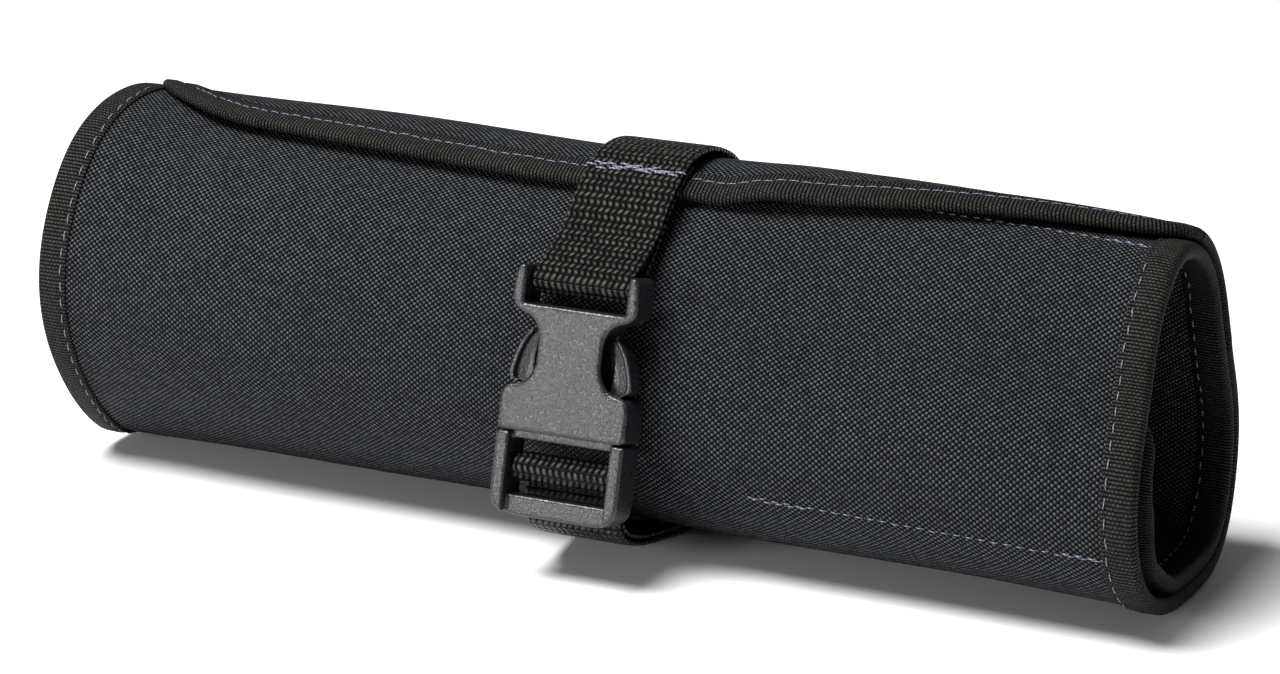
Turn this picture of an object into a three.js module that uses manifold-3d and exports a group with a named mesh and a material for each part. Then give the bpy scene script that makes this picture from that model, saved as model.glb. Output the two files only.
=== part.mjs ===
// Rolled-up canvas tool roll for carving tools, closed by a webbing strap with a
// side-release buckle. Millimetres, +Z up, +X along the roll, buckle on the -Y side.
import * as THREE from 'three';
import { mergeVertices } from 'three/addons/utils/BufferGeometryUtils.js';
import Module from 'manifold-3d';

const wasm = await Module();
wasm.setup();

// ---------- Driving dimensions ----------
const rollLength = 288;          // cut width of the canvas, which is the roll's length
const rollRadius = 43;           // mean radius of the rolled bundle
const ovalness = 2.5;            // taller than deep by twice this
const leanBulge = 2.5;           // how far the bundle slumps towards its lower front
const sag = 3.4;                 // how far the bundle's middle sinks below the turning centre
const restPress = 2.7;           // how much the underside is pressed flat where it rests

const canvasThickness = 1.2;     // coated canvas and its lining, sewn as one
const pocketThickness = 0.9;
const pocketDepth = 100;         // pocket mouth to the right-hand edge
const pocketPitch = 78;          // width of one pocket, measured round the roll
const layerGap = 0.3;            // air kept between two neighbouring pieces

const tapeThickness = 0.5;       // binding tape
const tapeWidth = 7.5;           // how far the tape reaches in from an edge, on each face
const flapCornerRadius = 42;     // rounded free corner of the flap
const threadWidth = 0.8;
const threadHeight = 0.3;

const strapWidth = 25;
const strapThickness = 1.4;
const strapCentreX = 8.5;        // the strap is sewn a little to the right of the middle
const tailLength = 45;           // free end lying under the roll

const buckleLean = 15;           // degrees from upright
const buckleThickness = 10;
const buckleWall = 1.8;
const railWidth = 3.5;           // side arms of both buckle halves
const socketLength = 39.7;       // ear tips to the socket's mouth
const ladderLength = 20;         // visible part of the male half
const ladderCorner = 6;          // rounding of its two free corners
const barRadius = 1.8;
const slotHeight = 4.2;          // webbing slot of the socket

// ---------- Where things lie round the roll ----------
// Turn angle in degrees: 90 is the top, 180 the front, 270 the bottom, 360 the back,
// and it goes on rising from the cloth's inner end to the edge of the flap.
const innerEnd = 165;
const turnSplit = 462;
const flapEdge = 825;
const pocketStart = 188;
const pocketEnd = 742;
const firstSeam = 562;           // divider seam low on the front
const strapSeam = 101;           // row that sews the strap to the flap's edge
// How deep each stretch of cloth lies below the bundle's outer surface.
const turnInset = [
  [innerEnd, 8.0], [225, 8.0], [270, 6.4], [330, 6.6], [385, 6.0],
  [425, 4.5], [466, 4.4], [500, 0], [flapEdge, 0],
];

const rad = THREE.MathUtils.degToRad;
const halfLength = rollLength / 2;
const tapeReach = layerGap + tapeThickness;
const tone = {
  canvas: [0x2c2e33, 0.85], lining: [0x23262b, 0.85], tape: [0x24231f, 0.8],
  webbing: [0x1f1d19, 0.8], thread: [0x8f8fb4, 0.7], plastic: [0x34363a, 0.45],
};
const roll = new THREE.Group();

// ---------- Helpers ----------
function piece(name, geometry, [color, roughness], parent = roll) {
  const material = new THREE.MeshStandardMaterial({ color, roughness, metalness: 0 });
  const mesh = new THREE.Mesh(geometry, material);
  mesh.name = name;
  parent.add(mesh);
  return mesh;
}

function solid(geometry) {
  const g = geometry.clone();
  g.deleteAttribute('normal');
  g.deleteAttribute('uv');
  const m = mergeVertices(g, 1e-3);
  const mesh = { numProp: 3, vertProperties: m.attributes.position.array };
  mesh.triVerts = new Uint32Array(m.index.array);
  return new wasm.Manifold(new wasm.Mesh(mesh));
}

function geometryOf(manifold) {
  const mesh = manifold.getMesh();
  const g = new THREE.BufferGeometry();
  g.setAttribute('position', new THREE.BufferAttribute(mesh.vertProperties, 3));
  g.setIndex(new THREE.BufferAttribute(mesh.triVerts, 1));
  return g;
}

// A section drawn in (y, z), carried along X from x0 to x1.
function alongX(points, x0, x1) {
  const g = new THREE.ExtrudeGeometry(new THREE.Shape(points), { depth: x1 - x0, bevelEnabled: false });
  const axes = new THREE.Matrix4().makeBasis(
    new THREE.Vector3(0, 1, 0), new THREE.Vector3(0, 0, 1), new THREE.Vector3(1, 0, 0));
  return g.applyMatrix4(axes).translate(x0, 0, 0);
}

// The bundle's outer surface: an oval that slumps forward, flat where it rests.
const lowest = rollRadius + ovalness - 0.76 * leanBulge + sag;
function outline(deg) {
  const a = rad(deg);
  const r = rollRadius - ovalness * Math.cos(2 * a)
    - leanBulge * (0.64 * Math.cos(3 * a) + 0.76 * Math.sin(3 * a));
  return new THREE.Vector2(r * Math.cos(a), Math.max(r * Math.sin(a) - sag, restPress - lowest));
}

function outward(deg) {
  const t = outline(deg + 3).sub(outline(deg - 3)).normalize();
  return new THREE.Vector2(t.y, -t.x);
}

function insetAt(turn) {
  const k = Math.max(1, turnInset.findIndex(([angle]) => angle >= turn));
  const [[a0, d0], [a1, d1]] = [turnInset[k - 1], turnInset[k]];
  return THREE.MathUtils.lerp(d0, d1, THREE.MathUtils.smoothstep(turn, a0, a1));
}

const onOutline = (deg, height) => outline(deg).addScaledVector(outward(deg), height);
const onCloth = (turn, depth) => onOutline(turn, -insetAt(THREE.MathUtils.clamp(turn, innerEnd, flapEdge)) - depth);

function sweep(from, to, step) {
  const n = Math.max(1, Math.round(Math.abs(to - from) / step));
  return Array.from({ length: n + 1 }, (_, i) => from + ((to - from) * i) / n);
}

// Every band bends at the same angles, so that layers keep their distance.
const bandStep = 7.5;
function bendAngles(from, to) {
  const first = Math.ceil(from / bandStep + 0.2);
  const last = Math.floor(to / bandStep - 0.2);
  const between = Array.from({ length: Math.max(0, last - first + 1) }, (_, i) => (first + i) * bandStep);
  return [from, ...between, to];
}

// A band of cloth between two depths, from one turn angle to another.
function band(from, to, outer, inner, x0, x1) {
  const turns = bendAngles(from, to);
  const top = turns.map((t) => onCloth(t, outer));
  const under = turns.map((t) => onCloth(t, inner)).reverse();
  return alongX([...top, ...under], x0, x1);
}

// Turn angle that lies a given distance further along the cloth.
function along(turn, distance) {
  let t = turn;
  for (let left = Math.abs(distance); left > 0; t += Math.sign(distance)) {
    left -= onCloth(t, 0).distanceTo(onCloth(t + Math.sign(distance), 0));
  }
  return t;
}

// ---------- Canvas ----------
// The flap's free left corner is rounded: everything outside the corner's arc goes.
const flapFront = onCloth(flapEdge, 0).x;
function cornerCut(grow) {
  const r = flapCornerRadius + grow;
  const cx = -halfLength + flapCornerRadius;
  const cy = flapFront + flapCornerRadius;
  const s = new THREE.Shape([
    new THREE.Vector2(cx, cy - r), new THREE.Vector2(cx, cy - r - 20),
    new THREE.Vector2(cx - r - 20, cy - r - 20), new THREE.Vector2(cx - r - 20, cy),
    new THREE.Vector2(cx - r, cy),
  ]);
  s.absarc(cx, cy, r, Math.PI, 1.5 * Math.PI, false);
  const prism = new THREE.ExtrudeGeometry(s, { depth: 4 * rollRadius, bevelEnabled: false, curveSegments: 10 });
  const nearFlap = band(flapEdge - 75, flapEdge + 12, -3, canvasThickness + tapeReach + 0.5,
    -halfLength - 5, -halfLength + 2 * flapCornerRadius);
  return solid(prism).intersect(solid(nearFlap));
}

const panel = (from, to) => band(from, to, 0, canvasThickness, -halfLength, halfLength);
piece('main_panel_inner_turn', panel(innerEnd, turnSplit - 0.4), tone.canvas);
piece('main_panel_outer_turn',
  geometryOf(solid(panel(turnSplit, flapEdge)).subtract(cornerCut(0))), tone.canvas);

// ---------- Pockets ----------
const pocketTop = canvasThickness + layerGap;
const pocketUnder = pocketTop + pocketThickness;
const mouthX = halfLength - pocketDepth;
piece('pocket_panel', band(pocketStart, pocketEnd, pocketTop, pocketUnder, mouthX, halfLength), tone.lining);

const mouthTape = solid(band(pocketStart + 1, pocketEnd - 1, pocketTop, pocketUnder + tapeReach,
  mouthX - tapeReach, mouthX + tapeWidth));
const mouthRoom = solid(band(pocketStart - 2, pocketEnd + 2, canvasThickness, pocketUnder + layerGap,
  mouthX - layerGap, mouthX + 2 * tapeWidth));
piece('pocket_mouth_binding', geometryOf(mouthTape.subtract(mouthRoom)), tone.tape);

// Rows of thread that divide the pockets, seen on the outer face of the canvas.
[0, 1, 2, 3, 4].forEach((i) => {
  const at = along(firstSeam, (i - 3) * pocketPitch);
  const half = (threadWidth / 2) / THREE.MathUtils.degToRad(1) / rollRadius;
  piece(`pocket_divider_seam_${i + 1}`,
    band(at - half, at + half, -layerGap - threadHeight, -layerGap,
      mouthX + 1, halfLength - tapeWidth - 1), tone.thread);
});

// ---------- Binding tape ----------
// Tape folded round an edge: a band a little larger than the cloth, less the cloth and its air.
function boundEnd(side, from, to, clothUnder) {
  const edge = side * halfLength;
  const span = (a, b) => [Math.min(a, b), Math.max(a, b)];
  const whole = solid(band(from, to, -tapeReach, clothUnder + tapeReach,
    ...span(edge - side * tapeWidth, edge + side * tapeReach)));
  const room = solid(band(from - 3, to + 3, -layerGap, clothUnder + layerGap,
    ...span(edge - side * 2 * tapeWidth, edge + side * layerGap)));
  return whole.subtract(room);
}

// The ends' tape hands over to the flap's tape just before the rounded corner.
const flapRun = flapEdge - THREE.MathUtils.radToDeg((flapCornerRadius + 3) / rollRadius);
const edgeTurn = 1.15;           // degrees of turn that the folded tape adds at a long edge
piece('left_end_binding', geometryOf(boundEnd(-1, innerEnd, flapRun, canvasThickness)), tone.tape);
const clearOfPocket = 0.5;       // degrees of turn
piece('right_end_binding', geometryOf(
  boundEnd(1, pocketStart - clearOfPocket, pocketEnd + clearOfPocket, pocketUnder)
    .add(boundEnd(1, innerEnd, pocketStart - 0.9 * clearOfPocket, canvasThickness))
    .add(boundEnd(1, pocketEnd + 0.9 * clearOfPocket, flapRun, canvasThickness))), tone.tape);

function flapBinding() {
  const outerX = halfLength + tapeReach;
  const whole = solid(band(flapRun + 0.5, flapEdge + edgeTurn, -tapeReach, canvasThickness + tapeReach,
    -outerX, outerX)).subtract(cornerCut(tapeReach));
  const cloth = solid(band(flapRun - 3, flapEdge + 0.4 * edgeTurn, -layerGap, canvasThickness + layerGap,
    -halfLength - layerGap, halfLength + layerGap)).subtract(cornerCut(layerGap));
  const r = flapCornerRadius - tapeWidth;
  const inside = new THREE.Shape([
    new THREE.Vector2(halfLength - tapeWidth, flapFront + tapeWidth),
    new THREE.Vector2(halfLength - tapeWidth, 3 * rollRadius),
    new THREE.Vector2(-halfLength + tapeWidth, 3 * rollRadius),
  ]);
  inside.absarc(-halfLength + tapeWidth + r, flapFront + tapeWidth + r, r, Math.PI, 1.5 * Math.PI, false);
  const middle = solid(new THREE.ExtrudeGeometry(inside,
    { depth: 4 * rollRadius, bevelEnabled: false, curveSegments: 10 }));
  return whole.subtract(cloth).subtract(middle);
}
piece('flap_edge_binding', geometryOf(flapBinding()), tone.tape);

const innerBinding = solid(band(innerEnd - 1.4 * edgeTurn, innerEnd + 14, -tapeReach,
  canvasThickness + tapeReach, -halfLength + tapeWidth + layerGap, halfLength - tapeWidth - layerGap));
const innerRoom = solid(band(innerEnd - 0.5 * edgeTurn, innerEnd + 20, -layerGap,
  canvasThickness + layerGap, -rollLength, rollLength));
piece('inner_edge_binding', geometryOf(innerBinding.subtract(innerRoom)), tone.tape);

// Rows of thread along the tape's inner border.
const onTape = tapeReach + layerGap;
const stitchX = halfLength - tapeWidth + 1.2;
[['left_binding_stitching', -stitchX], ['right_binding_stitching', stitchX]].forEach(([name, x]) => {
  piece(name, band(turnSplit + 22, flapRun - 4, -onTape - threadHeight, -onTape,
    x - threadWidth / 2, x + threadWidth / 2), tone.thread);
});
const flapStitch = along(flapEdge, -tapeWidth + 1.2);
const strapHalf = strapWidth / 2;
[['left', -halfLength + flapCornerRadius, strapCentreX - strapHalf - 2],
  ['right', strapCentreX + strapHalf + 2, halfLength - tapeWidth]].forEach(([side, x0, x1]) => {
  piece(`flap_stitching_${side}_run`, band(flapStitch - 0.5, flapStitch + 0.5,
    -onTape - threadHeight, -onTape, x0, x1), tone.thread);
});

// ---------- Buckle frame of reference ----------
// The buckle lies on the front of the bundle, where the bundle reaches furthest its way.
const lean = rad(buckleLean);
const faceOut = new THREE.Vector2(-Math.cos(lean), Math.sin(lean));
const faceUp = new THREE.Vector2(Math.sin(lean), Math.cos(lean));
const reach = sweep(120, 230, 1).reduce((best, deg) =>
  (outline(deg).dot(faceOut) > outline(best).dot(faceOut) ? deg : best), 180);
const buckleBack = outline(reach).dot(faceOut) + 0.6;
const buckleHeart = outline(reach).dot(faceUp);
const fromBuckle = (up, out) => new THREE.Vector2()
  .addScaledVector(faceUp, buckleHeart + up).addScaledVector(faceOut, buckleBack + out);

const buckle = new THREE.Group();
const heart = fromBuckle(0, 0);
buckle.rotation.x = Math.PI / 2 - lean;
buckle.position.set(strapCentreX, heart.x, heart.y);
roll.add(buckle);

const innerHalf = strapHalf + 0.7;             // webbing plus side play
const outerHalf = innerHalf + railWidth;
const mouthY = -15.8;
const earTop = mouthY + socketLength;
const barY = earTop - 3.3;
const slotFloor = barY - barRadius - slotHeight;
const barZ = 4.2;
const ladderBottom = mouthY - layerGap - ladderLength;
const adjusterY = mouthY - 8.8;
const adjusterZ = 4.4;
const foldRadius = barRadius + layerGap;       // inner face of webbing round a bar

// ---------- Strap ----------
// A ribbon of webbing whose middle line runs through the given (y, z) points.
function ribbon(points) {
  const side = points.map((p, i) => {
    const a = points[Math.max(0, i - 1)];
    const b = points[Math.min(points.length - 1, i + 1)];
    const t = b.clone().sub(a).normalize();
    return new THREE.Vector2(t.y, -t.x).multiplyScalar(strapThickness / 2);
  });
  const left = points.map((p, i) => p.clone().add(side[i]));
  const right = points.map((p, i) => p.clone().sub(side[i])).reverse();
  return alongX([...left, ...right], strapCentreX - strapHalf, strapCentreX + strapHalf);
}

const middle = strapThickness / 2;
const ply1 = tapeReach + layerGap + middle;    // webbing lying on the cloth and its tape
const ply2 = ply1 + strapThickness + layerGap;  // webbing lying on webbing
const loop = (up, out, radius, from, to, step) => sweep(from, to, step).map((deg) =>
  fromBuckle(up + radius * Math.cos(rad(deg)), out + radius * Math.sin(rad(deg))));

// Sewn at the flap's edge, down to the socket's bar, round it and back up to the seam.
const foldAround = foldRadius + middle;
const underRun = sweep(strapSeam - 4, 132, 5).map((d) => onOutline(d, ply1));
const aroundBar = loop(barY, barZ, foldAround, -112, -305, 19);
const overRun = sweep(126, strapSeam - 4, 5).map((d) => onOutline(d, ply2));
piece('strap_front_fold', ribbon([...underRun, ...aroundBar, ...overRun]), tone.webbing);

// From the seam over the top, down the back, under the roll and up behind the ladder,
// into the slot above the adjuster bar.
const smooth = (points, count) => new THREE.CatmullRomCurve3(
  points.map((p) => new THREE.Vector3(p.x, p.y, 0)), false, 'centripetal')
  .getPoints(count).map((p) => new THREE.Vector2(p.x, p.y));
const loadOut = -3.6;            // the loaded ply lies deepest behind the ladder
const slotUp = adjusterY + foldAround;
// Past the bottom the strap leaves the roll and spans the air to the ladder's lower end.
const leaveRoll = -113;
const lowerRun = smooth([onOutline(leaveRoll + 6, ply1), onOutline(leaveRoll, ply1),
  fromBuckle(ladderBottom - 3.4, loadOut - 16), fromBuckle(ladderBottom - 2.2, loadOut - 4.5),
  fromBuckle(ladderBottom + 1.6, loadOut - 0.3), fromBuckle(adjusterY - 1.5, loadOut)], 26);
piece('strap_long_run', ribbon([
  ...sweep(strapSeam - 4.6, 66, 5).map((d) => onOutline(d, ply2)),
  ...bendAngles(leaveRoll + 12, 58).reverse().map((d) => onOutline(d, ply1)), ...lowerRun,
  ...smooth([fromBuckle(adjusterY + 0.4, loadOut + 0.5), fromBuckle(slotUp - 0.5, -1),
    fromBuckle(slotUp, 0.8), fromBuckle(slotUp, 2)], 6)]), tone.webbing);

// Round the adjuster bar and out behind the end bar as the free end, on top of the loaded ply.
function beside(points, distance) {
  return points.map((p, i) => {
    const t = points[Math.min(points.length - 1, i + 1)].clone().sub(points[Math.max(0, i - 1)]).normalize();
    return p.clone().add(new THREE.Vector2(-t.y, t.x).multiplyScalar(distance));
  });
}
const plyPitch = strapThickness + layerGap;
const tailRun = beside(lowerRun, plyPitch + 0.1).slice(5, -2).reverse();
const tailFrom = 360 + leaveRoll;
const tailTo = along(tailFrom + 360, tailLength) - 360;
piece('strap_adjuster_tail', ribbon([
  fromBuckle(slotUp, 2 + layerGap), ...loop(adjusterY, adjusterZ, foldAround, 0, 180, 22.5),
  fromBuckle(adjusterY - foldAround - 0.1, 2.4), fromBuckle(adjusterY - foldAround - 0.6, 0.6),
  ...tailRun, ...bendAngles(tailFrom + 5, tailTo).map((d) => onOutline(d, ply2))]), tone.webbing);

// Several passes of thread hold fold, long run and flap together at the seam.
const seamHeight = ply2 + middle + layerGap;
piece('strap_seam_stitching', alongX([onOutline(strapSeam - 1.6, seamHeight),
  onOutline(strapSeam - 1.6, seamHeight + threadHeight), onOutline(strapSeam + 1.6, seamHeight + threadHeight),
  onOutline(strapSeam + 1.6, seamHeight)], strapCentreX - strapHalf + 1, strapCentreX + strapHalf - 1), tone.thread);

// ---------- Buckle ----------
const box = (x0, x1, y0, y1, z0, z1) => solid(new THREE.BoxGeometry(x1 - x0, y1 - y0, z1 - z0)
  .translate((x0 + x1) / 2, (y0 + y1) / 2, (z0 + z1) / 2));
const barAcross = (y, z, half) => solid(new THREE.CylinderGeometry(barRadius, barRadius, 2 * half, 16)
  .rotateZ(Math.PI / 2).translate(0, y, z));

const edgeRound = 0.5;

// A plate with rounded edges, from its outline drawn on the buckle's face.
function plate(shape, z0, z1, round) {
  const points = shape.getPoints(8).filter((p, i, all) => p.distanceTo(all[(i + 1) % all.length]) > 0.02);
  const g = new THREE.ExtrudeGeometry(new THREE.Shape(points), { depth: z1 - z0 - 2 * round,
    bevelThickness: round, bevelSize: round, bevelOffset: -round, bevelSegments: 3 });
  return solid(g.translate(0, 0, z0 + round));
}

// The socket's outline: broad mouth, waisted where the prongs show, arms for the webbing.
const notchTop = 10.4;
const notchFloor = -5;
const waistHalf = 8.4;
const armHalf = outerHalf - 0.3;  // outer face of the arms that hold the webbing bar
function socketOutline() {
  const s = new THREE.Shape();
  const half = (m) => [
    ['l', m * outerHalf, mouthY + 1.2], ['l', m * outerHalf, notchFloor - 3],
    ['q', m * outerHalf, notchFloor, m * (outerHalf - 3), notchFloor + 0.3],
    ['q', m * (waistHalf + 1.2), notchFloor + 0.6, m * waistHalf, notchFloor + 6],
    ['l', m * waistHalf, notchTop - 4.5],
    ['q', m * waistHalf, notchTop + 0.8, m * (outerHalf - 4), notchTop + 2],
    ['q', m * (armHalf + 0.1), notchTop + 3, m * armHalf, notchTop + 6.5],
    ['l', m * (armHalf - 0.4), earTop - 1.6], ['l', m * (armHalf - 1.3), earTop - 0.3],
    ['l', m * (innerHalf + 0.5), earTop], ['l', m * innerHalf, earTop - 1.4],
  ];
  s.moveTo(outerHalf - 1.2, mouthY);
  half(1).forEach(([kind, ...p]) => (kind === 'l' ? s.lineTo(...p) : s.quadraticCurveTo(...p)));
  s.lineTo(innerHalf, slotFloor);
  s.lineTo(-innerHalf, slotFloor);
  const back = new THREE.Shape();
  back.moveTo(-outerHalf + 1.2, mouthY);
  half(-1).forEach(([kind, ...p]) => (kind === 'l' ? back.lineTo(...p) : back.quadraticCurveTo(...p)));
  back.getPoints(8).reverse().forEach((p) => s.lineTo(p.x, p.y));
  s.closePath();
  return s;
}

const cavityHalf = innerHalf + 1.2;
const cavityTop = 9.5;
const socket = plate(socketOutline(), 0, buckleThickness, edgeRound)
  .subtract(box(-cavityHalf, cavityHalf, mouthY - 5, cavityTop, buckleWall, buckleThickness - buckleWall))
  .add(barAcross(barY, barZ, innerHalf + 1));
piece('buckle_socket', geometryOf(socket), tone.plastic, buckle);

// The ladder half: a tongue and guide rib inside the socket, arms and two bars outside it.
const tongueHalf = cavityHalf - layerGap;
const tongueZ0 = buckleWall + layerGap;
const tongueZ1 = buckleThickness - buckleWall - layerGap;
const tongueTop = mouthY + 5.3;
const windowTop = mouthY - 1.8;
const endBar = 4.9;
function ladderOutline() {
  const y1 = mouthY - layerGap;
  const s = new THREE.Shape();
  s.moveTo(outerHalf, y1);
  s.lineTo(-outerHalf, y1);
  s.lineTo(-outerHalf, ladderBottom + ladderCorner);
  s.quadraticCurveTo(-outerHalf, ladderBottom + 0.6, -outerHalf + ladderCorner, ladderBottom);
  s.lineTo(outerHalf - ladderCorner, ladderBottom);
  s.quadraticCurveTo(outerHalf, ladderBottom + 0.6, outerHalf, ladderBottom + ladderCorner);
  s.closePath();
  return s;
}
const guideHalf = 2.6;
const guideTop = tongueTop + 15;
const ladder = plate(ladderOutline(), 0, buckleThickness, edgeRound)
  .subtract(box(-innerHalf, innerHalf, ladderBottom + endBar, mouthY, -1, buckleThickness + 1))
  .subtract(box(-innerHalf, innerHalf, ladderBottom - 1, ladderBottom + endBar + 1, 7.4, buckleThickness + 1))
  .add(box(-tongueHalf, tongueHalf, windowTop, tongueTop, tongueZ0, tongueZ1))
  .add(box(-guideHalf, guideHalf, tongueTop - 1, guideTop, tongueZ0, tongueZ1))
  .add(barAcross(adjusterY, adjusterZ, innerHalf + 1));
piece('buckle_ladder', geometryOf(ladder), tone.plastic, buckle);

// A springy prong: a slim arm with a broad flank that shows in the socket's side notch,
// and a shoulder that catches under the notch's lower edge.
const prongRoot = 10;
const prongFoot = tongueTop + 0.6;
function prongOutline(m) {
  const s = new THREE.Shape();
  s.moveTo(m * (prongRoot - 1.6), prongFoot);
  s.lineTo(m * (prongRoot + 1.6), prongFoot);
  s.lineTo(m * (prongRoot + 2.2), notchFloor - 1);
  s.lineTo(m * (cavityHalf + 0.2), notchFloor + 1);
  s.quadraticCurveTo(m * (outerHalf - 0.2), notchFloor + 1.6, m * (outerHalf - 0.8), notchFloor + 4);
  s.quadraticCurveTo(m * (outerHalf - 2), notchTop - 5, m * (prongRoot + 1.6), notchTop - 2);
  s.lineTo(m * (prongRoot - 0.8), notchTop - 2.4);
  s.quadraticCurveTo(m * (prongRoot + 1.4), notchFloor + 6, m * (prongRoot - 0.4), notchFloor);
  s.closePath();
  return s;
}
[['prong_left', -1], ['prong_right', 1]].forEach(([name, m]) => {
  piece(name, geometryOf(plate(prongOutline(m), tongueZ0 + 0.2, tongueZ1 - 0.2, edgeRound / 2)), tone.plastic, buckle);
});

// ---------- Place the roll: resting on z = 0, centred on the origin ----------
roll.updateMatrixWorld(true);
const bounds = new THREE.Box3().setFromObject(roll);
roll.position.set(-(bounds.min.x + bounds.max.x) / 2, -(bounds.min.y + bounds.max.y) / 2, -bounds.min.z);

export default roll;
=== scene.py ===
import math

import bpy
import numpy as np
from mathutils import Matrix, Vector


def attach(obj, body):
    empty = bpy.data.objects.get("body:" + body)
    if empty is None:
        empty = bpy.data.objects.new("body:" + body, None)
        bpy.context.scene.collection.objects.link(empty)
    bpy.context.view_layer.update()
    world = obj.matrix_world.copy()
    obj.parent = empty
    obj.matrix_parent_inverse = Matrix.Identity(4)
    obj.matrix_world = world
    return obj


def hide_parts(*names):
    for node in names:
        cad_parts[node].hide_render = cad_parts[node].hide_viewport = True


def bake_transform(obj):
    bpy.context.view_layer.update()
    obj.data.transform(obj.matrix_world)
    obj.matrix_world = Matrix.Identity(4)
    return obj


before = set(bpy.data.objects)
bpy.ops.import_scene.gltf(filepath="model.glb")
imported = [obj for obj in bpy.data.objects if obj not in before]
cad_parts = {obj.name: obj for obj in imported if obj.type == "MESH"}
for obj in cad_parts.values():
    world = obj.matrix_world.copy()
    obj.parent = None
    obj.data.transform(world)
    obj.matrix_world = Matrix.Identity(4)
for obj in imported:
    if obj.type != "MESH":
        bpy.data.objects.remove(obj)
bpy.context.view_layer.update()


# ---------- Shell cloth ----------
# One coated plain-weave cloth wound 1.8 turns. Its section slumps forward, and leans more
# towards the right end. Turn angles are degrees: 90 top, 180 front, 270 bottom, 360 back.
HALF = 144.0  # half of the roll's length
MEAN_RADIUS = 43.0
INNER_END, FLAP_HINGE = 150.0, 720.0
CLOTH = 1.2
MM_PER_DEGREE = 0.752  # cloth taken up by one degree of turn
AXIS_Y, AXIS_Z = 9.2566, 48.5


def outline(turn, x):
    """The bundle's outer surface. Radius is the mean radius less 2.5 cos 2a, less 1.6 cos 3a,
    less 1.9 sin 3a, and each term shifts with the share of the way from middle to end. Bell
    curves of turn pull the right end in at the top and low at the back, and push the left end
    out at the top front. The height is eased so that it never goes below the resting flat."""
    a, s = np.radians(turn), x / HALF
    left, right = np.clip(-s, 0, 1), np.clip(s, 0, 1)
    r = (MEAN_RADIUS - 0.42 * s) - (2.5 + 1.0 * s + 1.8 * left) * np.cos(2 * a)
    r = r + (0.63 * s + 0.5 * left) * np.sin(2 * a) - 0.7 * left
    r = r - (1.6 - 0.25 * s) * np.cos(3 * a) - (1.9 + 2.94 * s) * np.sin(3 * a)
    top, low, front = ((turn - middle + 180) % 360 - 180 for middle in (82, 326, 116))
    r = r - 4.6 * right**3 * np.exp(-((top / 30) ** 2)) - 3.8 * right**3 * np.exp(-((low / 25) ** 2))
    r = r + 2.2 * left**2 * np.exp(-(front / 24) ** 2)
    z = r * np.sin(a) - 3.4 - 2.37 * s
    rest = -44.3 - 2.9 * right**1.5
    z = rest + 0.8 * np.logaddexp(0, (z - rest) / 0.8)
    return np.stack([r * np.cos(a) + AXIS_Y, z + AXIS_Z], -1)


def inset(turn, x):
    """Depth below the outer surface: eased steps between the listed turn angles. Where the
    rounded flap corner leaves the left end bare, up to 85 hundredths of it are taken off."""
    at = np.array([INNER_END, 168, 198, 230, 254, 300, 340, 385, 425, 466, 500, 900.0])
    deep = np.array([4.4, 9.8, 12.0, 7.4, 4.3, 4.1, 4.3, 4.6, 3.6, 3.1, 0.0, 0.0])
    t = np.clip(turn, INNER_END, 899)
    k = np.searchsorted(at, t, side="right") - 1
    f = (t - at[k]) / (at[k + 1] - at[k])
    bare = np.clip((-x - 112) / 26, 0, 1) * np.clip((turn - 405) / 30, 0, 1)
    return (deep[k] + (deep[k + 1] - deep[k]) * f * f * (3 - 2 * f)) * (1 - 0.85 * bare * (turn < 600))


def flap_rise(turn, x):
    """How far the flap's free edge lifts: a square law over its last 40 degrees, dying out at
    the right end, with a rise and a dip right of the strap and a slight rise to the left."""
    near = np.clip((turn - FLAP_HINGE - flap_edge(x) + 40) / 40, 0, 1.2)
    pucker = 1.6 * np.exp(-(((x - 44) / 9) ** 2)) - 0.8 * np.exp(-(((x - 30) / 7) ** 2))
    left = 0.4 * np.clip((-x + 20) / 90, 0, 1) * np.clip((turn - FLAP_HINGE - 20) / 35, 0, 1)
    return near**2 * (0.6 + pucker) * np.clip((HALF - 10 - x) / 40, 0, 1) + left


def flap_edge(x):
    """Angle of the flap's edge past the last full turn: a level run that falls away to both
    ends, a quarter ellipse at the rounded left corner and a small one at the right."""
    right = 107.3 - 20 * np.clip((x - 30) / 114, 0, 1) ** 1.15 - 7 * np.clip((x - 128) / 16, 0, 1) ** 2
    left = 7.0 * np.clip((-x - 20) / 100, 0, 1) ** 1.3
    corner = np.clip((-x - (HALF - 46)) / 46, 0, 1)
    small = np.clip((x - (HALF - 5)) / 5, 0, 1)
    return right - left - 50 * (1 - np.sqrt(1 - corner**2)) - 6.5 * (1 - np.sqrt(1 - small**2))


def on_cloth(turn, x, depth):
    """Place of a point of the wound cloth: the outline, moved inwards by the inset and the
    depth along the section's normal, with a slow ripple that dies out at the ends. The right
    end leans by a square law, and the cloth's inner edge is drawn in there by a bell curve."""
    turn, x, depth = np.broadcast_arrays(*[np.asarray(v, float) for v in (turn, x, depth)])
    step = outline(turn + 2, x) - outline(turn - 2, x)
    step = step / np.linalg.norm(step, axis=-1, keepdims=True)
    normal = np.stack([step[..., 1], -step[..., 0]], -1)
    ripple = 0.35 * np.sin(x / 31 + turn / 47) + 0.22 * np.sin(x / 17 - turn / 29 + 1)
    ripple = ripple * np.clip((HALF + 4 - np.abs(x)) / 40, 0, 1)
    up = flap_rise(turn, x) + ripple * (turn > 500) - inset(turn, x) - depth
    place = outline(turn, x) + normal * up[..., None]
    drawn_in = 4.5 * np.exp(-(((turn - INNER_END) / 9) ** 2))
    skew = np.clip(x / HALF, 0, 1.1) ** 2 * (0.6 - 2.9 * (place[..., 1] - AXIS_Z) / 45 - drawn_in)
    return np.concatenate([(x + skew)[..., None], place], -1)


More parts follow.
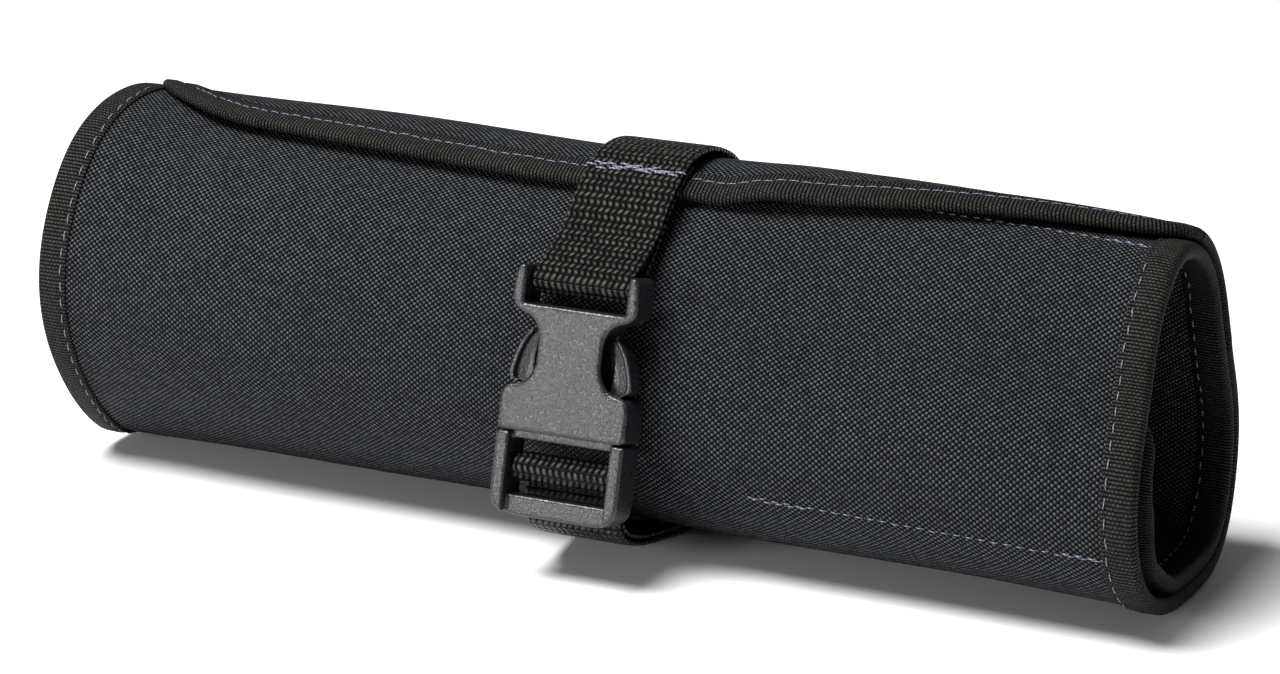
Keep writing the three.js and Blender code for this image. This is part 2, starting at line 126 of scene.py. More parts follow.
def skin(name, points, faces, uv):
    """A mesh from points in millimetres, quads by index, and one uv in metres per corner."""
    mesh = bpy.data.meshes.new(name)
    mesh.vertices.add(len(points))
    mesh.vertices.foreach_set("co", (points * 0.001).astype(np.float32).ravel())
    mesh.loops.add(faces.size)
    mesh.loops.foreach_set("vertex_index", faces.astype(np.int32).ravel())
    mesh.polygons.add(len(faces))
    mesh.polygons.foreach_set("loop_start", np.arange(0, faces.size, 4, dtype=np.int32))
    mesh.polygons.foreach_set("use_smooth", np.full(len(faces), True))
    layer = mesh.uv_layers.new(name="UVMap")
    layer.data.foreach_set("uv", uv.astype(np.float32).ravel())
    mesh.update(calc_edges=True)
    mesh.validate()
    made = bpy.data.objects.new(name, mesh)
    bpy.context.scene.collection.objects.link(made)
    return made


def quads(rows, cols, wrap=False):
    """Corner numbers of a grid's quads, row by row; wrap joins the last column to the first."""
    i, j = np.mgrid[0 : rows - 1, 0 : cols - (0 if wrap else 1)]
    k = (j + 1) % cols
    return np.stack([i * cols + j, i * cols + k, (i + 1) * cols + k, (i + 1) * cols + j], -1)


def slab(name, outer, inner, uv):
    """A closed sheet between two grids of points: both faces, and a strip along each rim."""
    rows, cols = outer.shape[:2]
    n = rows * cols
    top = quads(rows, cols).reshape(-1, 4)
    under = top[:, ::-1] + n
    number = np.arange(n).reshape(rows, cols)
    rim = np.concatenate([number[0], number[1:, -1], number[-1, -2::-1], number[-2:0:-1, 0]])
    after = np.roll(rim, -1)
    edge = np.stack([rim, rim + n, after + n, after], -1)
    faces = np.concatenate([top, under, edge])
    corner = np.concatenate([uv.reshape(-1, 2)] * 2)[faces]
    return skin(name, np.concatenate([outer.reshape(-1, 3), inner.reshape(-1, 3)]), faces, corner)


across = HALF * np.sin(np.linspace(-np.pi / 2, np.pi / 2, 141))
across = across * 0.45 + np.linspace(-HALF, HALF, 141) * 0.55
share = np.linspace(0, 1, 330)
turns = INNER_END + (FLAP_HINGE + flap_edge(across)[:, None] - INNER_END) * share
shell_outer = on_cloth(turns, across[:, None], 0.0)
shell_run = (turns - INNER_END) * MM_PER_DEGREE * 0.001
shell_uv = np.stack([np.broadcast_to(across[:, None] * 0.001, turns.shape), shell_run], -1)
shell = slab("shell_cloth", shell_outer, on_cloth(turns, across[:, None], CLOTH), shell_uv)


class Wire:
    """An output socket that does arithmetic with other wires and numbers."""

    def __init__(self, tree, socket_):
        self.tree, self.socket = tree, socket_

    @classmethod
    def add(cls, tree, kind, settings, sockets, out=0):
        """A node of one kind. Its settings are set first, then each socket named in sockets
        gets a value, or a link if it is a wire. Gives the output named or numbered by out."""
        made = tree.nodes.new("ShaderNode" + kind)
        for name, value in settings.items():
            setattr(made, name, value)
        for name, value in sockets.items():
            if isinstance(value, cls):
                tree.links.new(value.socket, made.inputs[name])
            else:
                made.inputs[name].default_value = value
        return cls(tree, made.outputs[out])

    def node(self, op, *values):
        return Wire.add(self.tree, "Math", {"operation": op}, dict(enumerate(values)))

    def feed(self, slot_):
        self.tree.links.new(self.socket, slot_)

    def __add__(self, o): return self.node("ADD", self, o)
    def __radd__(self, o): return self.node("ADD", o, self)
    def __sub__(self, o): return self.node("SUBTRACT", self, o)
    def __rsub__(self, o): return self.node("SUBTRACT", o, self)
    def __mul__(self, o): return self.node("MULTIPLY", self, o)
    def __rmul__(self, o): return self.node("MULTIPLY", o, self)
    def __truediv__(self, o): return self.node("DIVIDE", self, o)
    def __rtruediv__(self, o): return self.node("DIVIDE", o, self)
    def __pow__(self, o): return self.node("POWER", self, o)
    def sin(self): return self.node("SINE", self)
    def abs(self): return self.node("ABSOLUTE", self)
    def sign(self): return self.node("SIGN", self)
    def floor(self): return self.node("FLOOR", self)
    def fract(self): return self.node("FRACT", self)
    def most(self, o): return self.node("MAXIMUM", self, o)


def start(name, roughness, specular):
    """A new material, with its node tree and shader."""
    made = bpy.data.materials.new(name)
    made.use_nodes = True
    shader = made.node_tree.nodes["Principled BSDF"]
    shader.inputs["Roughness"].default_value = roughness
    shader.inputs["Specular IOR Level"].default_value = specular
    return made, made.node_tree, shader


def uv_wires(tree):
    """The piece's own map in metres: across or along it, as its section says."""
    uv = Wire.add(tree, "UVMap", {}, {})
    return [Wire.add(tree, "SeparateXYZ", {}, {0: uv}, out) for out in (0, 1)]


def noise(tree, scale, detail=2.0):
    """Noise over the object, with scale in features per metre."""
    place = Wire.add(tree, "TexCoord", {}, {}, "Object")
    return Wire.add(tree, "TexNoise", {}, {"Scale": scale, "Detail": detail, "Vector": place}, "Fac")


def speck(tree, u, v):
    """A random value for each cell of two whole-numbered wires."""
    cell = Wire.add(tree, "CombineXYZ", {}, {0: u, 1: v})
    return Wire.add(tree, "TexWhiteNoise", {"noise_dimensions": "2D"}, {"Vector": cell}, "Value")


def paint(tree, shader, amount, dark, light):
    """Base colour between two colours by a wire from 0 to 1."""
    Wire.add(
        tree, "Mix", {"data_type": "RGBA", "clamp_factor": True},
        {"Factor": amount, "A": (*dark, 1), "B": (*light, 1)}, "Result",
    ).feed(shader.inputs["Base Color"])


def relief(tree, shader, height, strength, distance):
    """Fine relief on the surface, from a height wire and a depth in metres."""
    Wire.add(
        tree, "Bump", {}, {"Strength": strength, "Distance": distance, "Height": height},
    ).feed(shader.inputs["Normal"])


def plain_weave(name, pitch_u, pitch_v, dark, light, ribbed=0.0):
    """Plain weave: each thread is a rounded ridge that is high where it passes over, on
    every other crossing, and low where it passes under. Its colour is painted light and
    shade: a painted highlight on the tops of the threads that pass over one way, painted
    shade on the tops of those the other way and in the gaps, and with ribs a painted
    highlight on each rib and painted shade between ribs, all times a random tone for each
    thread and a cloudy one."""
    made, tree, shader = start(name, 0.6, 0.05)
    u, v = uv_wires(tree)
    waver = (noise(tree, 260) - 0.5) * 0.00022
    u, v = (u + waver) / pitch_u, (v + waver) / pitch_v
    su, sv = (u * math.pi).sin(), (v * math.pi).sin()
    a, b, over = su.abs(), sv.abs(), (su * sv).sign()
    warp = a**0.6 * (0.5 + 0.5 * over * b)
    weft = b**0.6 * (0.5 - 0.5 * over * a)
    height = warp.most(weft) * (1 - ribbed) + a**0.7 * (0.85 + 0.15 * b) * ribbed
    grain = speck(tree, u.floor(), v.floor())
    cloud = noise(tree, 22, 3)
    # Painted light: a painted highlight where the threads one way pass over, painted shade where the
    # other threads pass over and in the gaps; with ribs, a painted highlight on each rib's crest and
    # painted shade between ribs.
    painted_crossing_light = 0.5 + 0.5 * over * (a * b) ** 0.5
    tone = painted_crossing_light**3.2 * (1 - ribbed) + a**2.4 * (0.5 + 0.5 * painted_crossing_light) * ribbed
    tone = tone * (0.6 + 0.7 * grain) * (0.75 + 0.5 * cloud)
    paint(tree, shader, tone, dark, light)
    relief(tree, shader, height, 1.0, 0.00042)
    return made


def dress(piece, material, slot, body, *nodes):
    """Gives a piece its finish, its body and the solids that it stands for."""
    piece.data.materials.clear()
    piece.data.materials.append(material)
    if body:
        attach(piece, body)
    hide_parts(*nodes)


canvas = plain_weave("canvas", 0.0008, 0.0007, (0.0004, 0.0005, 0.0008), (0.080, 0.086, 0.096))
dress(shell, canvas, "shell_canvas", "root", "main_panel_outer_turn", "main_panel_inner_turn")


# ---------- Pocket cloth ----------
# A thinner plain-weave cloth inside the right-hand third, which holds the tools. Its end is
# sewn under the right binding and its mouth is covered by a folded tape.
POCKET_IN, POCKET_OUT = 188.0, 742.0
POCKET_DEEP = 100.0
MOUTH_X = HALF - POCKET_DEEP
pocket_x = np.linspace(MOUTH_X, HALF, 50)
pocket_turns = np.broadcast_to(np.linspace(POCKET_IN, POCKET_OUT, 280), (50, 280))
pocket_run = pocket_turns * MM_PER_DEGREE * 0.001
pocket_uv = np.stack(
    [np.broadcast_to(pocket_x[:, None] * 0.001, pocket_turns.shape), pocket_run], -1)
pocket = slab(
    "pocket_cloth",
    on_cloth(pocket_turns, pocket_x[:, None], CLOTH + 0.3),
    on_cloth(pocket_turns, pocket_x[:, None], CLOTH + 1.2),
    pocket_uv,
)

lining = plain_weave("lining", 0.0008, 0.0007, (0.0008, 0.0011, 0.0015), (0.085, 0.098, 0.112))
dress(pocket, lining, "pocket_canvas", "root", "pocket_panel")


# ---------- Binding tape ----------
# Ribbed tape folded round each edge: a closed U whose fold is plump and whose borders
# are thin. It is carried along the edge of the cloth.
TAPE, ROW_IN, FLAP_ROW_IN = 7.5, 6.2, 4.6


def folded_tape(reach, top, under, row_at=ROW_IN):
    """Half of a U section as (distance in from the edge, height over the cloth's face), from
    border round the fold to border: a half circle for the fold, and the upper side pinched
    where the stitch row holds it."""
    a = np.linspace(np.pi / 2, 3 * np.pi / 2, 11)
    half, mid = (top + under) / 2 + 0.12, (top - under) / 2
    q_over = [reach, reach - 0.4, row_at + 0.5, row_at, row_at - 0.8, row_at - 2]
    h_over = [top - 0.45, top, top, top - 0.22, top + 0.1, top + 0.25]
    q = np.concatenate([q_over, 0.8 + 1.5 * np.cos(a), [3.5, reach - 0.4, reach]])
    h = np.concatenate([h_over, mid + half * np.sin(a), [-under - 0.1, -under, -under + 0.45]])
    return q, h


def arc_length(points):
    """Distance run along the last grid direction, in metres, from its first point."""
    step = np.linalg.norm(np.diff(points, axis=-2), axis=-1)
    return np.concatenate([step[..., :1] * 0, np.cumsum(step, -1)], -1) * 0.001


def tape_mesh(name, section, place, stations, along):
    """Carries a section along an edge. place turns (station, distance in, height) into
    points; the section is closed by itself run backwards, a little lower."""
    q, h = section(stations)
    q_in, h_in = np.maximum(q, 0.2), h * 0.62 - 0.2
    q_all = np.concatenate([q, q_in[:, ::-1]], 1)
    h_all = np.concatenate([h, h_in[:, ::-1]], 1)
    points = place(stations[:, None], q_all, h_all)
    rows, cols = q_all.shape
    faces = quads(rows, cols, wrap=True)
    run = arc_length(points)
    run = np.concatenate([run, run[:, -1:] + 0.0005], 1)
    line = np.broadcast_to(along[:, None], run.shape)
    grid = np.stack([line, run], -1)
    i, j = np.mgrid[0 : rows - 1, 0:cols]
    uv = np.stack([grid[i, j], grid[i, j + 1], grid[i + 1, j + 1], grid[i + 1, j]], -2)
    return skin(name, points.reshape(-1, 3), faces.reshape(-1, 4), uv.reshape(-1, 2))


def end_tape(name, side, first, last, over_pocket):
    """The tape on one end of the roll, wider inside where it also holds the pocket cloth."""
    stations = np.linspace(first, last, 420)

    def section(turn):
        wide = np.clip((turn - POCKET_IN) / 4, 0, 1) * np.clip((POCKET_OUT - turn) / 4, 0, 1)
        under = CLOTH + 0.7 + 1.2 * wide * over_pocket
        pairs = [folded_tape(TAPE, 0.75, u) for u in under]
        return np.array([p[0] for p in pairs]), np.array([p[1] for p in pairs])

    def place(turn, q, h):
        return on_cloth(turn, side * (HALF - q), -h)

    return tape_mesh(name, section, place, stations, stations * MM_PER_DEGREE * 0.001)


LEFT_TAPE_END, RIGHT_TAPE_END = 781.0, 794.0
left_tape = end_tape("left_binding", -1, INNER_END, LEFT_TAPE_END, 0)
right_tape = end_tape("right_binding", 1, INNER_END, RIGHT_TAPE_END, 1)

edge_x = np.linspace(-HALF + 0.6, HALF - 0.5, 300)
edge_x = np.concatenate([
    -HALF + 0.6 + 6 * np.linspace(0, 1, 40)[:-1] ** 2,
    edge_x[(edge_x > -HALF + 6.5) & (edge_x < HALF - 5.5)],
    HALF - 0.05 - 5 * np.linspace(1, 0, 30) ** 2,
])
edge_run = np.stack([edge_x, flap_edge(edge_x) * MM_PER_DEGREE], -1)
edge_step = np.gradient(edge_run, axis=0)
edge_step = edge_step / np.linalg.norm(edge_step, axis=-1, keepdims=True)
edge_s = np.concatenate([[0], np.cumsum(np.linalg.norm(np.diff(edge_run, axis=0), axis=-1))])


def on_flap(s, q, h):
    """A point q in from the flap's edge, s along it: worked out on the unrolled cloth, then
    wound back on to the roll."""
    s, q, h = np.broadcast_arrays(*[np.asarray(v, float) for v in (s, q, h)])
    x, w, tx, tw = [np.interp(s, edge_s, v) for v in (*edge_run.T, *edge_step.T)]
    turn = FLAP_HINGE + (w - tx * q) / MM_PER_DEGREE
    return on_cloth(turn, np.clip(x + tw * q, -HALF - 0.6, HALF + 0.6), -h)


def flap_section(s):
    """The same folded section at every station of the flap's edge."""
    q, h = folded_tape(TAPE, 0.85, CLOTH + 0.7, FLAP_ROW_IN)
    return np.broadcast_to(q, (len(s), len(q))), np.broadcast_to(h, (len(s), len(h)))


flap_s = np.linspace(0, edge_s[-1], 420)
flap_tape = tape_mesh("flap_binding", flap_section, on_flap, flap_s, flap_s * 0.001)

inner_x = np.linspace(-HALF + 11, HALF - 11, 200)


def inner_section(x):
    """The same folded section all along the cloth's inner edge."""
    q, h = folded_tape(TAPE, 0.75, CLOTH + 0.7)
    return np.broadcast_to(q, (len(x), len(q))), np.broadcast_to(h, (len(x), len(h)))


inner_tape = tape_mesh(
    "inner_edge_binding_tape", inner_section,
    lambda x, q, h: on_cloth(INNER_END + q / 0.63, x + 0 * q, -h), inner_x, inner_x * 0.001,
)
mouth_turns = np.linspace(POCKET_IN + 1, POCKET_OUT - 1, 400)


def mouth_section(turn):
    """The folded section all round the pocket mouth, held flat under the shell cloth."""
    q, h = folded_tape(TAPE, 0.2, 1.6)
    h = np.minimum(h, 0.1)
    return np.broadcast_to(q, (len(turn), len(q))), np.broadcast_to(h, (len(turn), len(h)))


mouth_tape = tape_mesh(
    "pocket_mouth_tape", mouth_section,
    lambda t, q, h: on_cloth(t, MOUTH_X + q, CLOTH + 0.3 - h),
    mouth_turns, mouth_turns * MM_PER_DEGREE * 0.001,
)

tape_cloth = plain_weave(
    "tape_cloth", 0.00095, 0.0005, (0.0004, 0.0004, 0.0003), (0.042, 0.042, 0.038), 0.85,
)
dress(left_tape, tape_cloth, "binding_tape", "root", "left_end_binding")
dress(right_tape, tape_cloth, "binding_tape", "root", "right_end_binding")
dress(flap_tape, tape_cloth, "binding_tape", "root", "flap_edge_binding")
dress(inner_tape, tape_cloth, "binding_tape", "root", "inner_edge_binding")
dress(mouth_tape, tape_cloth, "binding_tape", "root", "pocket_mouth_binding")


# ---------- Stitching ----------
# Separate stitches of twisted thread. Each rises out of the cloth, lies on it and goes
# back in; rows that fasten an end are sewn over twice.
random = np.random.default_rng(41)


def stitches(place, starts, length, radius=0.17, skew=0.1):
    """Points, quads and uv of rods of six sides along a row. A rod's radius shrinks with the
    square root of 1.02 less the sixth power of its place from the middle, and its height
    falls with that sixth power, so that both ends dive into the cloth."""
    t = np.linspace(-1, 1, 7)
    a = np.linspace(0, 2 * np.pi, 6, endpoint=False)
    count = len(starts)
    lean = random.normal(0, skew, (count, 1, 1))
    s = starts[:, None, None] + t[None, :, None] * length / 2 + 0 * a
    size = radius * np.sqrt(1.02 - t**6)[None, :, None]
    side = size * np.cos(a) + lean * (1 + t[None, :, None]) + random.normal(0, skew / 2, (count, 1, 1))
    high = radius * (0.75 - 2.2 * t[None, :, None] ** 6) + size * np.sin(a)
    points = place(s, side + 0 * s, high + 0 * s)
    block = quads(7, 6, wrap=True).reshape(-1, 4)
    faces = (block[None] + np.arange(count)[:, None, None] * 42).reshape(-1, 4)
    local = np.stack(np.broadcast_arrays(t[:, None] * length * 0.0005, a * 0.0002), -1).reshape(-1, 2)
    uv = np.tile(local[block].reshape(-1, 2), (count, 1))
    return points.reshape(-1, 3), faces, uv


def row(first, last, pitch):
    """Places at an even pitch, in millimetres along the seam."""
    return np.arange(first, last, pitch, dtype=float)


def sewn(name, rows):
    """One mesh from several rows of stitches."""
    first = np.concatenate([[0], np.cumsum([len(r[0]) for r in rows])])
    faces = np.concatenate([r[1] + n for r, n in zip(rows, first)])
    return skin(name, np.concatenate([r[0] for r in rows]), faces, np.concatenate([r[2] for r in rows]))


def end_rows(side, under, inner_turns):
    """The row near the tape's inner border on the outer face, and its other side inside."""
    x = side * (HALF - ROW_IN)
    first, last = (466, 784) if side > 0 else (446, 772)
    outside = stitches(
        lambda s, w, h: on_cloth(s / MM_PER_DEGREE, x + w, -0.72 - h),
        row(first * MM_PER_DEGREE, last * MM_PER_DEGREE, 4.4), 2.7,
    )
    inside = stitches(
        lambda s, w, h: on_cloth(s / MM_PER_DEGREE, x + w, under + h),
        row(inner_turns[0] * MM_PER_DEGREE, inner_turns[1] * MM_PER_DEGREE, 4.4), 2.7,
    )
    return [outside, inside]


def twisted_thread(name):
    """Sewing thread in slanted bands by a sine of length and girth together: a painted highlight on the
    strands of the twist and painted shade in its grooves, as the relief follows the same bands.
    """
    made, tree, shader = start(name, 0.5, 0.4)
    u, v = uv_wires(tree)
    twist = ((u / 0.0006 + v / 0.0006) * math.pi).sin() * 0.5 + 0.5
    # Painted highlight on the twist's strands and painted shade in its grooves, times a random tone.
    paint(tree, shader, twist * (0.6 + 0.4 * noise(tree, 500)), (0.05, 0.05, 0.08), (0.25, 0.25, 0.37))
    relief(tree, shader, twist, 0.5, 0.00008)
    return made


thread = twisted_thread("thread")
left_thread = sewn("left_binding_thread", end_rows(-1, CLOTH + 0.72, (360, 700)))
right_thread = sewn("right_binding_thread", end_rows(1, CLOTH + 1.92, (200, 735)))
dress(left_thread, thread, "sewing_thread", "root", "left_binding_stitching")
dress(right_thread, thread, "sewing_thread", "root", "right_binding_stitching")


def flap_row(name, x0, x1):
    """One row along the flap's tape, between two places along the roll."""
    s0, s1 = np.interp([x0, x1], edge_x, edge_s)
    one_row = stitches(
        lambda s, w, h: on_flap(s, FLAP_ROW_IN + w, 0.75 + h), row(s0, s1, 3.2), 2.9, 0.13)
    return sewn(name, [one_row])


flap_thread_left = flap_row("flap_thread_left", -126, -6)
flap_thread_right = flap_row("flap_thread_right", 23, 139)
dress(flap_thread_left, thread, "sewing_thread", "root", "flap_stitching_left_run")
dress(flap_thread_right, thread, "sewing_thread", "root", "flap_stitching_right_run")

FRONT_SEAM, POCKET_PITCH = 562, 103.8
SEWN_ASTRAY = (0, 0, -3.2, 4.5, 0)  # how far each seam strays from its even place, in turn
SEAM_RUNS = (  # first and last place along the roll, and shift to one side: a row, two backstitches
    (MOUTH_X + 7, HALF - 8, 0), (MOUTH_X + 7, MOUTH_X + 22, 0.5), (HALF - 17, HALF - 7, -0.45),
)
for i, astray in enumerate(SEWN_ASTRAY):
    at = FRONT_SEAM + (i - 3) * POCKET_PITCH + astray
    parts = []
    for first, last, shift in SEAM_RUNS:
        parts.append(stitches(
            lambda s, w, h, a=at, d=shift: on_cloth(a + (w + d) / MM_PER_DEGREE, s, -h),
            row(first + abs(shift) * 2, last, 3.0), 2.2, 0.14 if shift == 0 else 0.2, 0.1,
        ))
    seam = sewn(f"pocket_seam_{i + 1}", parts)
    dress(seam, thread, "sewing_thread", "root", f"pocket_divider_seam_{i + 1}")


# ---------- Strap webbing ----------
# Coarse webbing 25 mm wide. One strip is sewn to the flap, one runs round the roll, and
# both go through the buckle.
STRAP_X, STRAP_HALF, PLY = 8.5, 12.5, 1.4
TILT = math.radians(15)
UP = np.array([math.sin(TILT), math.cos(TILT)])
OUT = np.array([-math.cos(TILT), math.sin(TILT)])
HEART = np.array([-32.4015, 50.2991])  # the buckle's middle, as (y, z)
PLY_1, PLY_2 = 1.8, 3.5  # height over the cloth of each ply's middle line
WRAP = 2.8  # radius of the webbing's middle line round a bar
BAR_Y, BAR_Z = 20.6, 4.2  # the socket's bar: up the buckle, and out from it
LADDER_Y, LADDER_Z, LADDER_END = -24.6, 4.4, -36.1  # the ladder's bar, and its lower end


def from_buckle(up, out):
    """A point up the buckle and out from it, as (y, z)."""
    up, out = np.asarray(up, float), np.asarray(out, float)
    return HEART + np.multiply.outer(up, UP) + np.multiply.outer(out, OUT)


def round_roll(turn, height):
    """Points round the roll at the strap, on the middle line of a ply at that height."""
    t = np.asarray(turn, float)
    step = outline(t + 2, STRAP_X) - outline(t - 2, STRAP_X)
    step = step / np.linalg.norm(step, axis=-1, keepdims=True)
    normal = np.stack([step[..., 1], -step[..., 0]], -1)
    return outline(t, STRAP_X) + normal * np.broadcast_to(height, t.shape)[..., None]


def rounded(points, passes=3):
    """Cuts every corner at a quarter and three quarters of its sides, a few times over."""
    for _ in range(passes):
        a, b = points[:-1], points[1:]
        cut = np.stack([0.75 * a + 0.25 * b, 0.25 * a + 0.75 * b], 1).reshape(-1, 2)
        points = np.concatenate([points[:1], cut, points[-1:]])
    return points


def webbing(name, line):
    """A strip whose middle line is (y, z) points, evenly spaced; rounded selvedges."""
    run = np.concatenate([[0], np.cumsum(np.linalg.norm(np.diff(line, axis=0), axis=-1))])
    s = np.linspace(0, run[-1], int(run[-1] / 0.8) + 2)
    line = np.stack([np.interp(s, run, line[:, k]) for k in (0, 1)], -1)
    step = np.gradient(line, axis=0)
    step = step / np.linalg.norm(step, axis=-1, keepdims=True)
    normal = np.stack([step[:, 1], -step[:, 0]], -1)
    edge = np.array([STRAP_HALF - 0.2, STRAP_HALF])
    w = np.concatenate([-edge[::-1], np.linspace(-11.8, 11.8, 20), edge])
    thick = PLY / 2 * (1 - np.abs(w / 12.6) ** 26) ** 0.5
    wander = 0.12 * np.sin(s / 9)
    x = STRAP_X + w[:, None] + wander
    sides = []
    for sign in (1, -1):
        yz = line[None] + sign * normal[None] * thick[:, None, None]
        sides.append(np.concatenate([x[..., None], yz], -1))
    uv = np.stack(np.broadcast_arrays((w[:, None] + STRAP_HALF) * 0.001, s[None] * 0.001), -1)
    return slab(name, sides[0], sides[1], uv), run[-1]


def circle(up, out, radius, first, last):
    """An arc of webbing round a bar of the buckle, between two angles in degrees."""
    a = np.radians(np.linspace(first, last, 22))
    return from_buckle(up + radius * np.cos(a), out + radius * np.sin(a))


fold_line = np.concatenate([
    round_roll(np.arange(97, 133, 3.0), PLY_1),
    circle(BAR_Y, BAR_Z, WRAP, -112, -305),
    round_roll(np.arange(126, 94, -3.0), PLY_2 + 0.1),
])
front_fold, fold_length = webbing("strap_front", rounded(fold_line, 2))

top_turns = np.arange(96.4, 60, -3.0)
loft = -(PLY_2 - 1.5) * np.clip((top_turns[0] - top_turns) / 20, 0, 1)
lower = rounded(np.concatenate([
    round_roll([-107, -113], PLY_1),
    [from_buckle(LADDER_END - 3.4, -19.6), from_buckle(LADDER_END - 2.2, -8.1),
     from_buckle(LADDER_END + 1.6, -3.9), from_buckle(LADDER_Y - 1.5, -3.6)],
]))
long_line = np.concatenate([
    round_roll(top_turns, PLY_2 + loft), round_roll(np.arange(57, -101, -4.0), 1.5), lower,
    [from_buckle(LADDER_Y + 0.4, -3.1), from_buckle(LADDER_Y + 2.3, -1.0),
     from_buckle(LADDER_Y + 2.8, 0.8), from_buckle(LADDER_Y + 2.8, 2.0)],
])
long_run, long_length = webbing("strap_round", rounded(long_line, 2))

step = np.gradient(lower, axis=0)
step = step / np.linalg.norm(step, axis=-1, keepdims=True)
beside = (lower + 1.85 * np.stack([-step[:, 1], step[:, 0]], -1))[9:-4][::-1]
tail_line = np.concatenate([
    [from_buckle(LADDER_Y + 2.8, 2.3)], circle(LADDER_Y, LADDER_Z, WRAP, 0, 180),
    [from_buckle(LADDER_Y - 2.9, 2.4), from_buckle(LADDER_Y - 3.4, 0.6)], beside,
    round_roll(np.arange(253, 307, 4.0), PLY_2 - 0.15),
])
tail, tail_length = webbing("strap_tail", rounded(tail_line, 1))


def chevron_weave(name, dark, light):
    """Webbing: rows across the strip, each of slanted loops; rows slant to and fro. Its colour is a
    painted highlight along each loop's top and painted shade in the gaps, times a random tone for each
    loop.
    """
    made, tree, shader = start(name, 0.42, 0.14)
    u, v = uv_wires(tree)
    waver = (noise(tree, 180) - 0.5) * 0.0004
    line = (v + waver) / 0.0019
    index, part = line.floor(), line.fract()
    slant = (index * math.pi + math.pi / 2).sin()
    loop = (u + waver) / 0.00165 + slant * part * 0.42 + index * 0.5
    height = (loop * math.pi).sin().abs() ** 0.55 * (part * math.pi).sin().abs() ** 0.5
    grain = speck(tree, loop.floor(), index)
    # Painted light from the loops' height: a painted highlight on each loop's top, painted shade
    # between loops and between rows.
    paint(tree, shader, height**4.2 * (0.4 + 1.1 * grain), dark, light)
    relief(tree, shader, height, 1.0, 0.00075)
    return made


webbing_cloth = chevron_weave("webbing_cloth", (0.0004, 0.0004, 0.0003), (0.044, 0.043, 0.038))
dress(long_run, webbing_cloth, "strap_webbing", "root", "strap_long_run")
dress(tail, webbing_cloth, "strap_webbing", "root", "strap_adjuster_tail")
dress(front_fold, webbing_cloth, "strap_webbing", None, "strap_front_fold")
seam_end, bar_end = round_roll([108.0], PLY_2)[0] * 0.001, from_buckle(18.0, 4.2) * 0.001
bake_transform(front_fold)


# ---------- Seam that holds the strap ----------
# Four uneven passes of thicker thread, each a little askew, that fasten the front fold and
# the long run of webbing to the flap's edge.
STRAP_SEAM = 104.4
seam_parts = []
for k, (skew, drop, first, last) in enumerate(
    ((0.0, 0.0, -3, 20), (0.5, -0.4, -2, 19), (-0.6, 0.35, -1.5, 22), (0.3, 0.2, 3, 20.5))
):
    def place_seam(s, w, h, skew=skew, drop=drop):
        turn = STRAP_SEAM + (w + drop + skew * np.sin((s - 8) / 7)) / 0.75
        return np.concatenate([s[..., None], round_roll(turn, PLY_2 + 0.85 + h)], -1)

    seam_parts.append(stitches(place_seam, row(first + 0.7 * k, last, 3.4), 3.1, 0.22, 0.25))
strap_thread = sewn("strap_seam_thread", seam_parts)
dress(strap_thread, thread, "sewing_thread", "root", "strap_seam_stitching")


# ---------- Buckle ----------
# A side-release buckle moulded in black plastic: a socket, a ladder half and two springy
# prongs. The CAD solids' edges are softened as moulding leaves them.
def moulded(node, name, voxel, passes):
    """A copy of a CAD solid, remeshed finely and relaxed, so that edges are rounded."""
    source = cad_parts[node]
    made = bpy.data.objects.new(name, source.data.copy())
    bpy.context.scene.collection.objects.link(made)
    made.data.materials.clear()
    remesh = made.modifiers.new("even", "REMESH")
    remesh.mode, remesh.voxel_size = "VOXEL", voxel
    relax = made.modifiers.new("relax", "SMOOTH")
    relax.factor, relax.iterations = 0.5, passes
    bpy.context.view_layer.update()
    finished = made.evaluated_get(bpy.context.evaluated_depsgraph_get())
    made.data = bpy.data.meshes.new_from_object(finished)
    made.modifiers.clear()
    made.data.polygons.foreach_set("use_smooth", np.full(len(made.data.polygons), True))
    made.data.update()
    return made


def railed(piece):
    """Sinks a prong's face inside a rail 1.2 mm wide that follows its outer side: the front
    half of the thickness is squeezed by up to 1.7 mm."""
    place = np.empty(len(piece.data.vertices) * 3, np.float32)
    piece.data.vertices.foreach_get("co", place)
    place = place.reshape(-1, 3) * 1000
    up, out = (place[:, 1:] - HEART) @ UP, (place[:, 1:] - HEART) @ OUT
    wide = np.abs(place[:, 0] - STRAP_X)
    cell = ((up - up.min()) / 0.5).astype(int)
    reach = np.zeros(cell.max() + 1)
    np.maximum.at(reach, cell, wide)
    middle = (out.min() + out.max()) / 2
    in_from_side = reach[cell] - wide
    inside = np.clip((in_from_side - 1.2) / 0.5, 0, 1)
    inside = inside * (0.6 + 0.4 * np.clip(in_from_side / 4, 0, 1))
    sink = 1.7 * inside * np.clip((out - middle) / (out.max() - middle), 0, 1)
    place[:, 1:] -= np.multiply.outer(sink, OUT).astype(np.float32)
    piece.data.vertices.foreach_set("co", (place * 0.001).ravel())
    piece.data.update()
    return piece


socket = moulded("buckle_socket", "socket_shell", 0.00034, 16)
ladder = moulded("buckle_ladder", "ladder_frame", 0.00034, 16)
prong_l = railed(moulded("prong_left", "prong_left_arm", 0.00022, 4))
prong_r = railed(moulded("prong_right", "prong_right_arm", 0.00022, 4))


def moulded_plastic(name):
    """Black plastic with a fine leather grain in its tone, gloss and relief."""
    made, tree, shader = start(name, 0.33, 0.5)
    grain = noise(tree, 2000, 2)
    paint(tree, shader, grain, (0.0005, 0.0006, 0.0007), (0.016, 0.018, 0.021))
    (0.08 + grain * 0.5).feed(shader.inputs["Roughness"])
    relief(tree, shader, grain, 0.55, 0.00022)
    return made


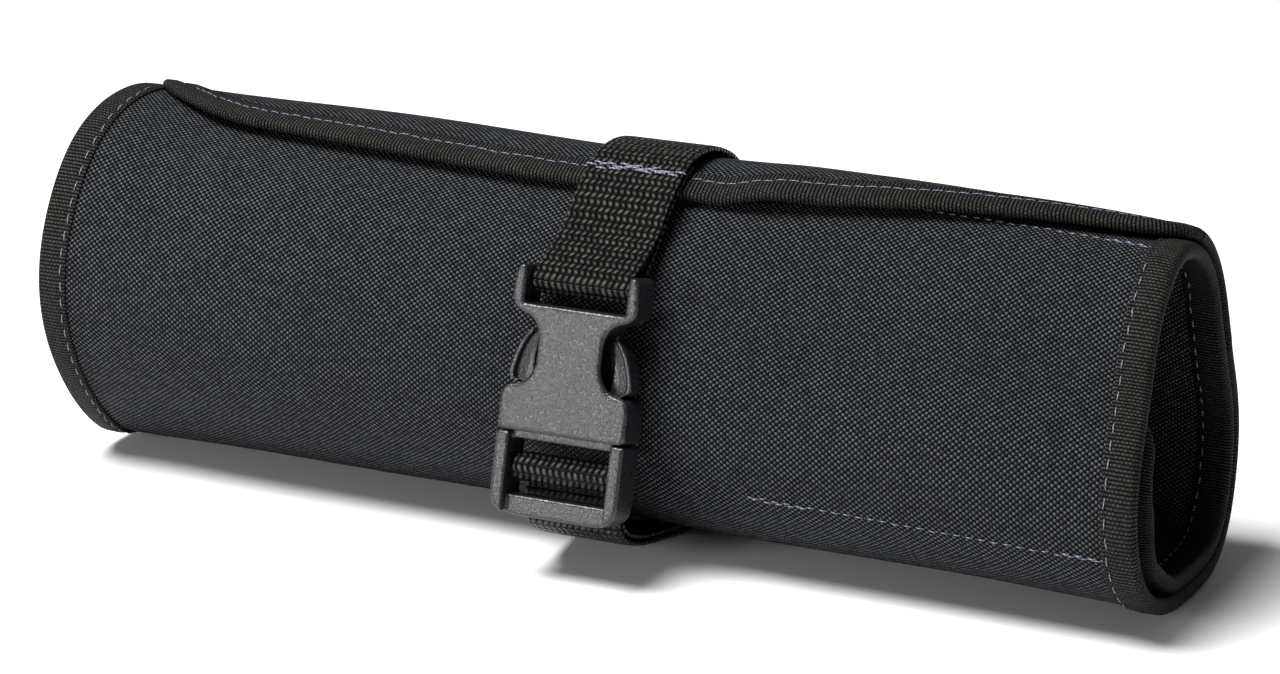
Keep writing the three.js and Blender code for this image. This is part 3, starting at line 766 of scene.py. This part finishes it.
plastic = moulded_plastic("plastic")
dress(socket, plastic, "buckle_plastic", "socket", "buckle_socket")
dress(ladder, plastic, "buckle_plastic", "root", "buckle_ladder")
dress(prong_l, plastic, "buckle_plastic", "prong_left", "prong_left")
dress(prong_r, plastic, "buckle_plastic", "prong_right", "prong_right")


# ---------- Floor, light and camera ----------
# A white sweep, one large soft light above the front left, and a weak one low in front.
def panel_light(name, place, aim, size, power):
    """A round soft light at a place, turned towards another."""
    lamp = bpy.data.lights.new(name, "AREA")
    lamp.shape, lamp.size, lamp.energy = "DISK", size, power
    made = bpy.data.objects.new(name, lamp)
    made.location = place
    made.rotation_euler = (Vector(aim) - made.location).to_track_quat("-Z", "Y").to_euler()
    bpy.context.scene.collection.objects.link(made)


floor_points = np.array([[-3000, -3000, 0], [3000, -3000, 0], [3000, 3000, 0], [-3000, 3000, 0.0]])
floor = skin("floor", floor_points, np.array([[0, 1, 2, 3]]), floor_points[:, :2] * 0.001)
floor_material, _, floor_shader = start("floor", 0.9, 0.5)
floor_shader.inputs["Base Color"].default_value = (0.9, 0.9, 0.9, 1)
floor.data.materials.append(floor_material)
panel_light("key", (-0.35, -0.45, 1.25), (0, 0, 0.03), 0.8, 42)
panel_light("face", (-0.52, -1.12, 0.30), (0.01, -0.03, 0.05), 0.34, 6.4)

world = bpy.data.worlds.new("studio")
bpy.context.scene.world = world
world.use_nodes = True
world.node_tree.nodes["Background"].inputs[0].default_value = (1, 1, 1, 1)
world.node_tree.nodes["Background"].inputs[1].default_value = 0.12
bpy.context.scene.view_settings.view_transform = "Standard"

camera_data = bpy.data.cameras.new("camera")
camera_data.lens, camera_data.sensor_width = 114.93, 36.0
camera_data.shift_x, camera_data.shift_y = 0.0568, 0.0202
camera_data.clip_start, camera_data.clip_end = 0.01, 20.0
camera = bpy.data.objects.new("camera", camera_data)
camera.location = (0.4057, -0.8677, 0.3487)
camera.rotation_euler = (math.radians(90 - 17.78), 0.0, math.radians(25.68))
bpy.context.scene.collection.objects.link(camera)
bpy.context.scene.camera = camera
